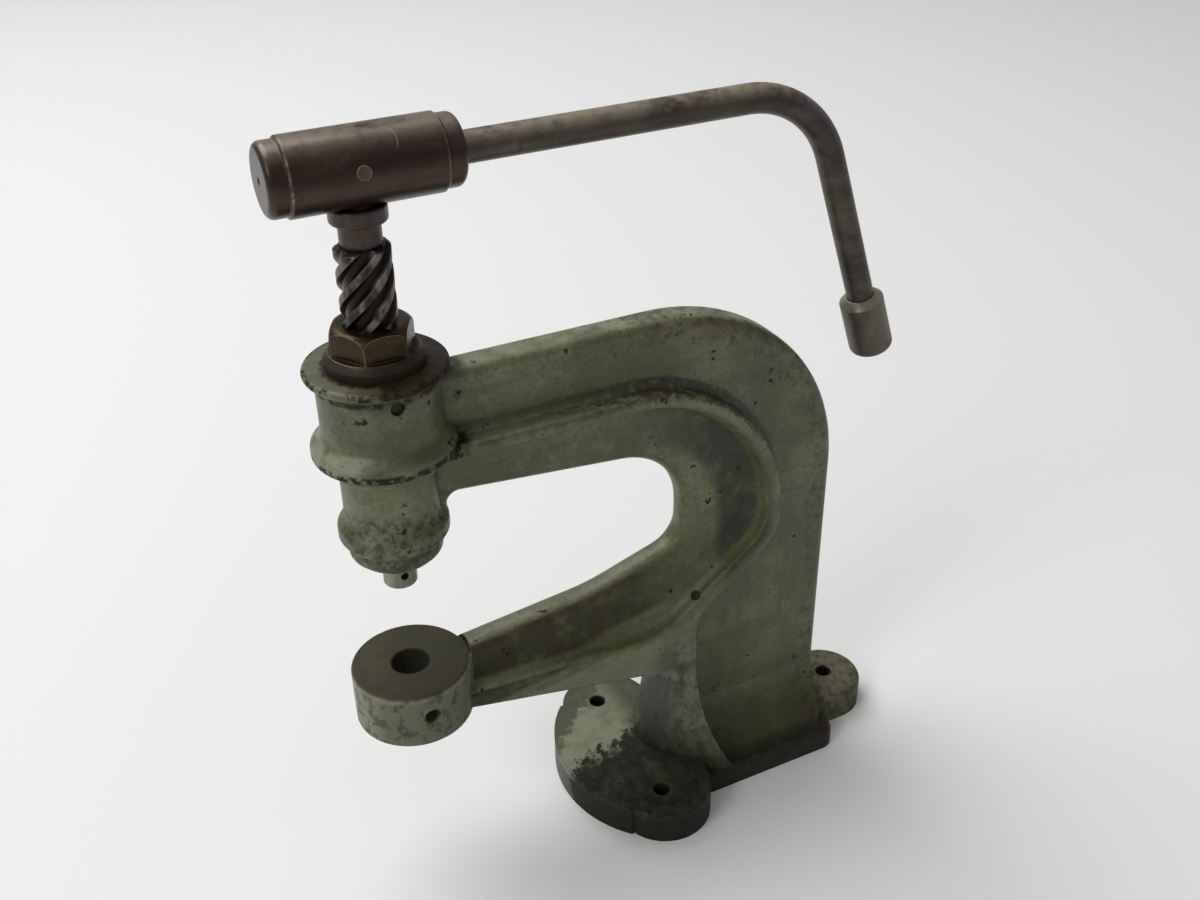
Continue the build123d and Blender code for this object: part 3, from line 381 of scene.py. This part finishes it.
def dirt_coats(g, m, color):
    """Dirt and painted shade in corners, dirt along the ledge outside the spine, and in specks
    along the back edge.
    """
    # Dirt and painted shade: darker wherever nearby surfaces close over a corner.
    in_corner = g.plus(g.hollow(7.0 * MM), g.times(m.middle, 0.4))
    grime_and_shade = g.times(g.step(in_corner, 0.42, 0.70), 0.85)
    color = g.mix(grime_and_shade, color, srgb(40, 37, 27))
    above = g.times(g.step(g.x, -50.0 * MM, 12.0 * MM), g.step(g.z, 88.0 * MM, 104.0 * MM))
    ledge = g.band(g.plus(m.off_spine, g.times(m.tear, 0.35)), -0.2 * MM, 2.4 * MM, 1.2 * MM)
    ledge = g.times(ledge, above, g.invert(m.near_axis), g.step(m.torn, 0.36, 0.5))
    color = g.coat(color, srgb(44, 39, 27), 0.88, ledge)
    back = g.times(g.band(m.off_back, -7.0 * MM, 0.0, 4.0 * MM), g.step(g.x, -40.0 * MM, 20.0 * MM))
    return g.coat(color, srgb(54, 48, 33), 0.7, back, g.step(m.torn, 0.5, 0.58)), grime_and_shade


def chip_coats(g, m, color):
    """Outer edges rubbed pale, a painted highlight on the upper bead's left, then chips and pores
    down to dark iron.
    """
    outer = g.step(g.hollow(2.2 * MM, inside=True), 0.12, 0.4)
    rub = g.times(g.step(g.edges(1.9 * MM), 0.02, 0.14), outer)
    raised = g.step(g.z, 0.0, 35.0 * MM)
    color = g.coat(color, srgb(146, 147, 124), 0.6, rub, g.step(m.middle, 0.3, 0.62), raised)
    # Painted highlight: pale patch on the upper bead, on its left side only, where the light
    # catches it.
    bead_highlight = g.times(g.band(g.z, 162.8 * MM, 166.2 * MM, 2.0 * MM), m.near_axis)
    left = g.step(g.x, RAM_X + 2.0 * MM, RAM_X - 13.0 * MM)
    color = g.coat(color, srgb(146, 149, 126), 0.6, bead_highlight, left, g.step(m.middle, 0.32, 0.6))

    bead_edge = g.times(g.band(g.z, 158.8 * MM, 162.2 * MM, 1.2 * MM), m.near_axis)
    bead_flakes = g.times(bead_edge, g.step(m.torn, 0.44, 0.51))
    pore_field = g.plus(g.cells(190.0), g.times(g.noise(55.0, 3.0, 0.6), 0.9))
    pores = g.step(pore_field, 0.45, 0.39)
    flakes = g.times(g.step(m.middle, 0.66, 0.70), g.step(m.fine, 0.42, 0.55))
    edge_flakes = g.times(rub, g.step(g.noise(300.0, 4.0, 0.65), 0.51, 0.56))
    outside = g.step(m.radius, 18.6 * MM, 19.4 * MM)
    rim = g.times(outside, g.step(g.z, 183.8 * MM, 185.0 * MM), m.near_axis)
    rim_flakes = g.times(rim, g.step(g.noise(300.0, 5.0, 0.7), 0.48, 0.53))
    chips = g.most(pores, flakes)
    for more in (edge_flakes, bead_flakes, rim_flakes):
        chips = g.most(chips, more)
    return g.coat(color, srgb(28, 25, 18), 0.92, chips), chips


def anvil_coats(g, m, color):
    """Anvil: bare machined top with a bright rim of polished edge and painted highlight, blotched
    sides, dark die bore.
    """
    top_start = 80.9 * MM
    height = g.times(g.step(g.z, top_start, 81.3 * MM), g.step(g.z, 86.0 * MM, 82.5 * MM))
    bare = g.times(height, g.step(m.radius, 19.2 * MM, 18.6 * MM))
    steel = g.mix(g.step(m.middle, 0.3, 0.75), srgb(38, 31, 22), srgb(60, 51, 38))
    towards_arm = g.step(g.x, RAM_X - 12.0 * MM, RAM_X + 18.0 * MM)
    steel = g.coat(steel, srgb(32, 27, 19), 0.6, towards_arm)
    color = g.mix(bare, color, steel)

    side = g.band(g.z, 60.0 * MM, top_start, 1.0 * MM)
    side = g.times(side, g.step(m.radius, 19.6 * MM, 18.8 * MM))
    blotch = g.times(side, g.step(g.noise(210.0, 4.0, 0.7), 0.51, 0.58))
    color = g.coat(color, srgb(122, 129, 106), 0.55, side)
    color = g.coat(color, srgb(42, 42, 29), 0.62, blotch)

    bore = g.times(g.step(m.radius, 6.6 * MM, 6.4 * MM), g.step(g.z, 81.5 * MM, top_start))
    color = g.coat(color, srgb(30, 25, 17), 0.85, bore)
    # Bright rim: polished edge and painted highlight.
    ring = g.times(g.step(m.radius, 17.4 * MM, 18.0 * MM), g.step(m.radius, 19.4 * MM, 18.8 * MM))
    rim = g.times(g.band(g.z, 80.0 * MM, 81.2 * MM, 0.3 * MM), ring, g.step(m.middle, 0.4, 0.55))
    color = g.coat(color, srgb(140, 134, 116), 0.5, rim)
    return color, bare, g.most(g.times(blotch, 0.5), g.most(bore, g.times(bare, 0.9)))


def casting_paint():
    """Worn sage green paint of the casting, laid on coat by coat."""
    g = Graph("casting_paint")
    m = Masks(g)
    color = green_coats(g, m)
    color, cove_shade = column_coats(g, m, color)
    color = stand_coats(g, m, color)
    color, recess = arm_coats(g, m, color)
    color, grease_and_shade = base_coats(g, m, color)
    color, oil, head_dirt_and_shade = head_coats(g, m, color)
    color, grime_and_shade = dirt_coats(g, m, color)
    color, chips = chip_coats(g, m, color)
    color, bare, anvil_wear = anvil_coats(g, m, color)

    dull = g.most(grime_and_shade, oil)
    for more in (grease_and_shade, g.times(recess, 0.7), g.times(cove_shade, 0.5), head_dirt_and_shade, chips, anvil_wear):
        dull = g.most(dull, more)
    rough = g.span(g.plus(g.times(m.middle, 0.6), g.times(m.fine, 0.4)), 0.30, 0.58)
    rough = g.plus(rough, g.times(dull, 0.15))
    height = g.plus(g.times(m.middle, 0.5), g.times(m.fine, 0.25))
    height = g.plus(height, g.times(chips, -0.35))
    normal = g.bump(height, 0.35, 0.5 * MM, g.rounded_normal(1.2 * MM))
    specular = g.span(dull, 0.5, 0.14)
    return g.finish(color, rough, normal, metallic=g.times(bare, 0.3), specular=specular)


def aged_steel(name, tones, rough_ends, grain, metallic=0.75, dust_and_top_light=0.0, dust_and_light_from=0.5,
               rings=(), nick=None):
    """Oxidised steel: streaks along its grain, stains, dust and painted top light on upper faces,
    bright rubbed outer edges.
    """
    dark, mid, worn = tones
    g = Graph(name)
    streak = g.noise(160.0, 4.0, 0.6, g.stretched(grain))
    cloud = g.noise(60.0, 4.0, 0.6)
    speck = g.noise(650.0, 3.0, 0.6)
    smudge = g.noise(230.0, 5.0, 0.7)
    blend = g.plus(g.times(streak, 0.7), g.times(cloud, 0.3))
    color = g.mix(g.step(blend, 0.38, 0.66), dark, mid)
    color = g.coat(color, dark, 0.5, g.step(smudge, 0.5, 0.68))
    color = g.coat(color, worn, 0.15, g.step(cloud, 0.6, 0.75))
    color = g.coat(color, dark, 0.5, g.step(speck, 0.58, 0.7))
    # Dust and painted light: upper faces paler, as if lit from above.
    if dust_and_top_light:
        upward = g.step(g.facing(2), dust_and_light_from, 1.0)
        dusted_and_lit = g.times(upward, g.step(g.plus(smudge, cloud), 0.65, 1.15), dust_and_top_light)
        color = g.mix(dusted_and_lit, color, srgb(136, 125, 110))
        metallic = g.times(g.invert(dusted_and_lit), metallic)
    outer = g.step(g.hollow(0.9 * MM, inside=True), 0.12, 0.4)
    rub = g.times(g.step(g.edges(0.6 * MM), 0.02, 0.14), outer, g.step(streak, 0.25, 0.55))
    color = g.coat(color, worn, 0.9, rub)
    # Bright lines at the hub's shoulders: wear and painted highlight.
    for ring in rings:
        place = RAM_X + ring * MM
        line = g.band(g.x, place - 0.15 * MM, place + 0.15 * MM, 0.3 * MM)
        broken = g.times(g.step(speck, 0.3, 0.6), g.step(smudge, 0.35, 0.6))
        color = g.coat(color, worn, 0.55, line, broken)
    if nick:
        nick_x, nick_y, nick_radius = (value * MM for value in nick)
        around = g.from_axis(nick_x, nick_y)
        arc = g.band(around, nick_radius - 0.1 * MM, nick_radius + 0.1 * MM, 0.15 * MM)
        one_side = g.step(g.x, nick_x + 2.2 * MM, nick_x + 2.9 * MM)
        color = g.coat(color, worn, 0.55, arc, one_side, g.step(g.z, 247.8 * MM, 249.2 * MM))
    rough = g.span(g.plus(g.times(streak, 0.5), g.times(speck, 0.5)), *rough_ends)
    height = g.plus(g.times(streak, 0.6), g.times(speck, 0.4))
    normal = g.bump(height, 0.22, 0.25 * MM, g.rounded_normal(0.5 * MM))
    return g.finish(color, rough, normal, metallic=metallic)


def spindle_steel():
    """Steep screw: oil in the grooves, unevenly rubbed crests, brown neck and collar made paler
    with painted light under the hub.
    """
    g = Graph("spindle_steel")
    streak = g.noise(300.0, 4.0, 0.6, g.stretched((1.0, 1.0, 0.35)))
    cloud = g.noise(90.0, 4.0, 0.6)
    radius = g.from_axis()
    threaded = g.step(g.z, 223.5 * MM, 221.5 * MM)
    color = g.mix(g.step(streak, 0.35, 0.7), srgb(50, 42, 36), srgb(76, 67, 58))
    # Painted light: the neck and collar below the hub made paler, against the shade the hub casts.
    color = g.coat(color, srgb(92, 82, 72), 0.3, g.invert(threaded), g.step(cloud, 0.3, 0.6))
    root = g.step(radius, 7.35 * MM, 6.6 * MM)
    color = g.coat(color, srgb(24, 22, 19), 0.92, root, threaded)
    crest = g.times(g.step(radius, 7.3 * MM, 7.5 * MM), threaded, g.step(streak, 0.42, 0.62))
    color = g.coat(color, srgb(118, 112, 104), 0.85, crest)
    rub = g.times(g.step(g.edges(0.5 * MM), 0.03, 0.2), g.step(cloud, 0.38, 0.6))
    color = g.coat(color, srgb(168, 162, 152), 0.7, rub, g.invert(root))
    rough = g.span(streak, 0.22, 0.46)
    normal = g.bump(streak, 0.25, 0.2 * MM, g.rounded_normal(0.35 * MM))
    return g.finish(color, rough, normal, metallic=0.85)


def nut_bronze():
    """Dark aged bronze: greasy collar, grease and painted shade in corners, bright lines at the
    flats' edges.
    """
    g = Graph("nut_bronze")
    cloud = g.noise(110.0, 4.0, 0.6)
    speck = g.noise(700.0, 3.0, 0.6)
    color = g.mix(g.step(cloud, 0.35, 0.65), srgb(45, 36, 25), srgb(69, 56, 37))
    # Grease and painted shade: darker wherever nearby surfaces close over a corner.
    grease_and_shade = g.step(g.plus(g.hollow(4.0 * MM), g.times(cloud, 0.3)), 0.35, 0.7)
    color = g.coat(color, srgb(28, 23, 16), 0.85, grease_and_shade)
    color = g.coat(color, srgb(32, 27, 19), 0.45, g.step(speck, 0.58, 0.72))
    collar = g.step(g.plus(g.z, g.times(cloud, 2.0 * MM)), 194.2 * MM, 191.8 * MM)
    color = g.coat(color, srgb(32, 24, 14), 0.85, collar)
    clean = g.invert(g.most(grease_and_shade, collar))
    rub = g.times(g.step(g.edges(0.4 * MM), 0.02, 0.12), clean, g.step(cloud, 0.3, 0.5))
    color = g.coat(color, srgb(178, 158, 126), 0.9, rub)
    rough = g.span(g.plus(g.times(cloud, 0.5), g.times(speck, 0.5)), 0.22, 0.48)
    rough = g.plus(rough, g.times(collar, 0.28))
    height = g.plus(g.times(cloud, 0.6), g.times(speck, 0.4))
    normal = g.bump(height, 0.2, 0.25 * MM, g.rounded_normal(0.35 * MM))
    return g.finish(color, rough, normal, metallic=g.span(collar, 0.85, 0.3))


def dress():
    """A procedural material for every CAD node."""
    along_x = (0.15, 1.0, 1.0)
    along_z = (1.0, 1.0, 0.15)
    brown = (srgb(51, 39, 32), srgb(74, 59, 49), srgb(156, 145, 129))
    oxide = (srgb(55, 49, 41), srgb(84, 77, 67), srgb(142, 134, 119))
    grey = (srgb(98, 97, 84), srgb(148, 147, 131), srgb(180, 178, 164))
    black = (srgb(34, 31, 28), srgb(56, 52, 46), srgb(110, 103, 92))
    tan = (srgb(66, 54, 45), srgb(96, 82, 70), srgb(168, 156, 140))
    satin = (0.28, 0.5)
    grub = aged_steel("grub_steel", black, (0.35, 0.6), along_x)
    ram = aged_steel("ram_steel", grey, satin, along_z, metallic=0.8)
    hub = aged_steel("hub_steel", brown, (0.24, 0.42), along_x, metallic=0.7, dust_and_top_light=0.65,
                     rings=(-18.0, 22.4), nick=(-70.6, -6.9, 3.57))
    pin = aged_steel("pin_steel", tan, (0.3, 0.5), along_z, metallic=0.6)
    rod = aged_steel("rod_steel", oxide, satin, along_x, metallic=0.6, dust_and_top_light=0.95, dust_and_light_from=0.0)
    knob = aged_steel("knob_steel", oxide, satin, along_z, metallic=0.45, dust_and_top_light=0.8, dust_and_light_from=-0.6)
    looks = {
        "frame_casting": casting_paint(),
        "screw_nut": nut_bronze(),
        "nut_lock_screw": grub,
        "ram_guide_screw": grub,
        "retaining_pin_front": grub,
        "retaining_pin_back": grub,
        "ram": ram,
        "screw_spindle": spindle_steel(),
        "handle_hub": hub,
        "hub_pin": pin,
        "handle_rod": rod,
        "handle_knob": knob,
    }
    for name, material in looks.items():
        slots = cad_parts[name].data.materials
        slots.clear()
        slots.append(material)


def studio():
    """Pale floor that sweeps up behind the part."""
    half_width, near, rise_start, radius, height = 6.0, -3.0, 2.2, 1.2, 3.0
    profile = [(near, 0.0), (rise_start, 0.0)]
    steps = 16
    for k in range(1, steps + 1):
        angle = math.pi / 2 * k / steps
        profile.append((rise_start + radius * math.sin(angle), radius * (1 - math.cos(angle))))
    profile.append((rise_start + radius, height))
    mesh = bmesh.new()
    rows = []
    for depth, level in profile:
        rows.append([mesh.verts.new((side * half_width, depth, level)) for side in (-1, 1)])
    for lower, upper in zip(rows, rows[1:]):
        face = mesh.faces.new((lower[0], lower[1], upper[1], upper[0]))
        face.smooth = True
    data = bpy.data.meshes.new("floor")
    mesh.to_mesh(data)
    mesh.free()
    floor = bpy.data.objects.new("floor", data)
    floor.rotation_euler = (0, 0, -CAMERA_YAW)
    floor.location = (0, 0, CAD_BOX[0][2])
    bpy.context.scene.collection.objects.link(floor)
    paper = bpy.data.materials.new("floor_paper")
    paper.use_nodes = True
    shader = paper.node_tree.nodes["Principled BSDF"]
    shader.inputs["Base Color"].default_value = srgb(238, 239, 239)
    shader.inputs["Roughness"].default_value = 0.75
    data.materials.append(paper)


def lamp(name, place, target, size, power):
    """Square area lamp aimed at a point."""
    data = bpy.data.lights.new(name, "AREA")
    data.size = size
    data.energy = power
    lamp_object = bpy.data.objects.new(name, data)
    lamp_object.location = place
    aim = Vector(target) - Vector(place)
    lamp_object.rotation_euler = aim.to_track_quat("-Z", "Y").to_euler()
    bpy.context.scene.collection.objects.link(lamp_object)


def lights():
    """Broad soft lamp above and behind, a smaller one on the left, and a pale world."""
    middle = (0.0, 0.0, 0.1)
    lamp("key_lamp", (-0.5, 0.9, 1.9), middle, 1.6, 31.0)
    lamp("fill_lamp", (-1.5, -0.55, 1.25), middle, 0.7, 8.0)
    world = bpy.data.worlds.new("studio_world")
    world.use_nodes = True
    back = world.node_tree.nodes["Background"]
    back.inputs["Color"].default_value = srgb(240, 239, 236)
    back.inputs["Strength"].default_value = 0.38
    bpy.context.scene.world = world


def camera():
    """Camera at the photograph's place and angle."""
    forward = Vector(
        (
            math.sin(CAMERA_YAW) * math.cos(CAMERA_PITCH),
            math.cos(CAMERA_YAW) * math.cos(CAMERA_PITCH),
            -math.sin(CAMERA_PITCH),
        )
    )
    level_right = Vector((math.cos(CAMERA_YAW), -math.sin(CAMERA_YAW), 0.0))
    level_up = level_right.cross(forward)
    cos_roll, sin_roll = math.cos(CAMERA_ROLL), math.sin(CAMERA_ROLL)
    right = cos_roll * level_right + sin_roll * level_up
    up = cos_roll * level_up - sin_roll * level_right
    data = bpy.data.cameras.new("photo_camera")
    data.sensor_fit = "HORIZONTAL"
    data.sensor_width = CAMERA_SENSOR
    data.lens = CAMERA_LENS
    data.clip_start = 0.01
    eye = bpy.data.objects.new("photo_camera", data)
    turn = Matrix((right, up, -forward)).transposed().to_4x4()
    eye.matrix_world = Matrix.Translation(CAMERA_PLACE) @ turn
    bpy.context.scene.collection.objects.link(eye)
    bpy.context.scene.camera = eye


bpy.context.scene.view_settings.view_transform = "Standard"
dress()
studio()
lights()
camera()
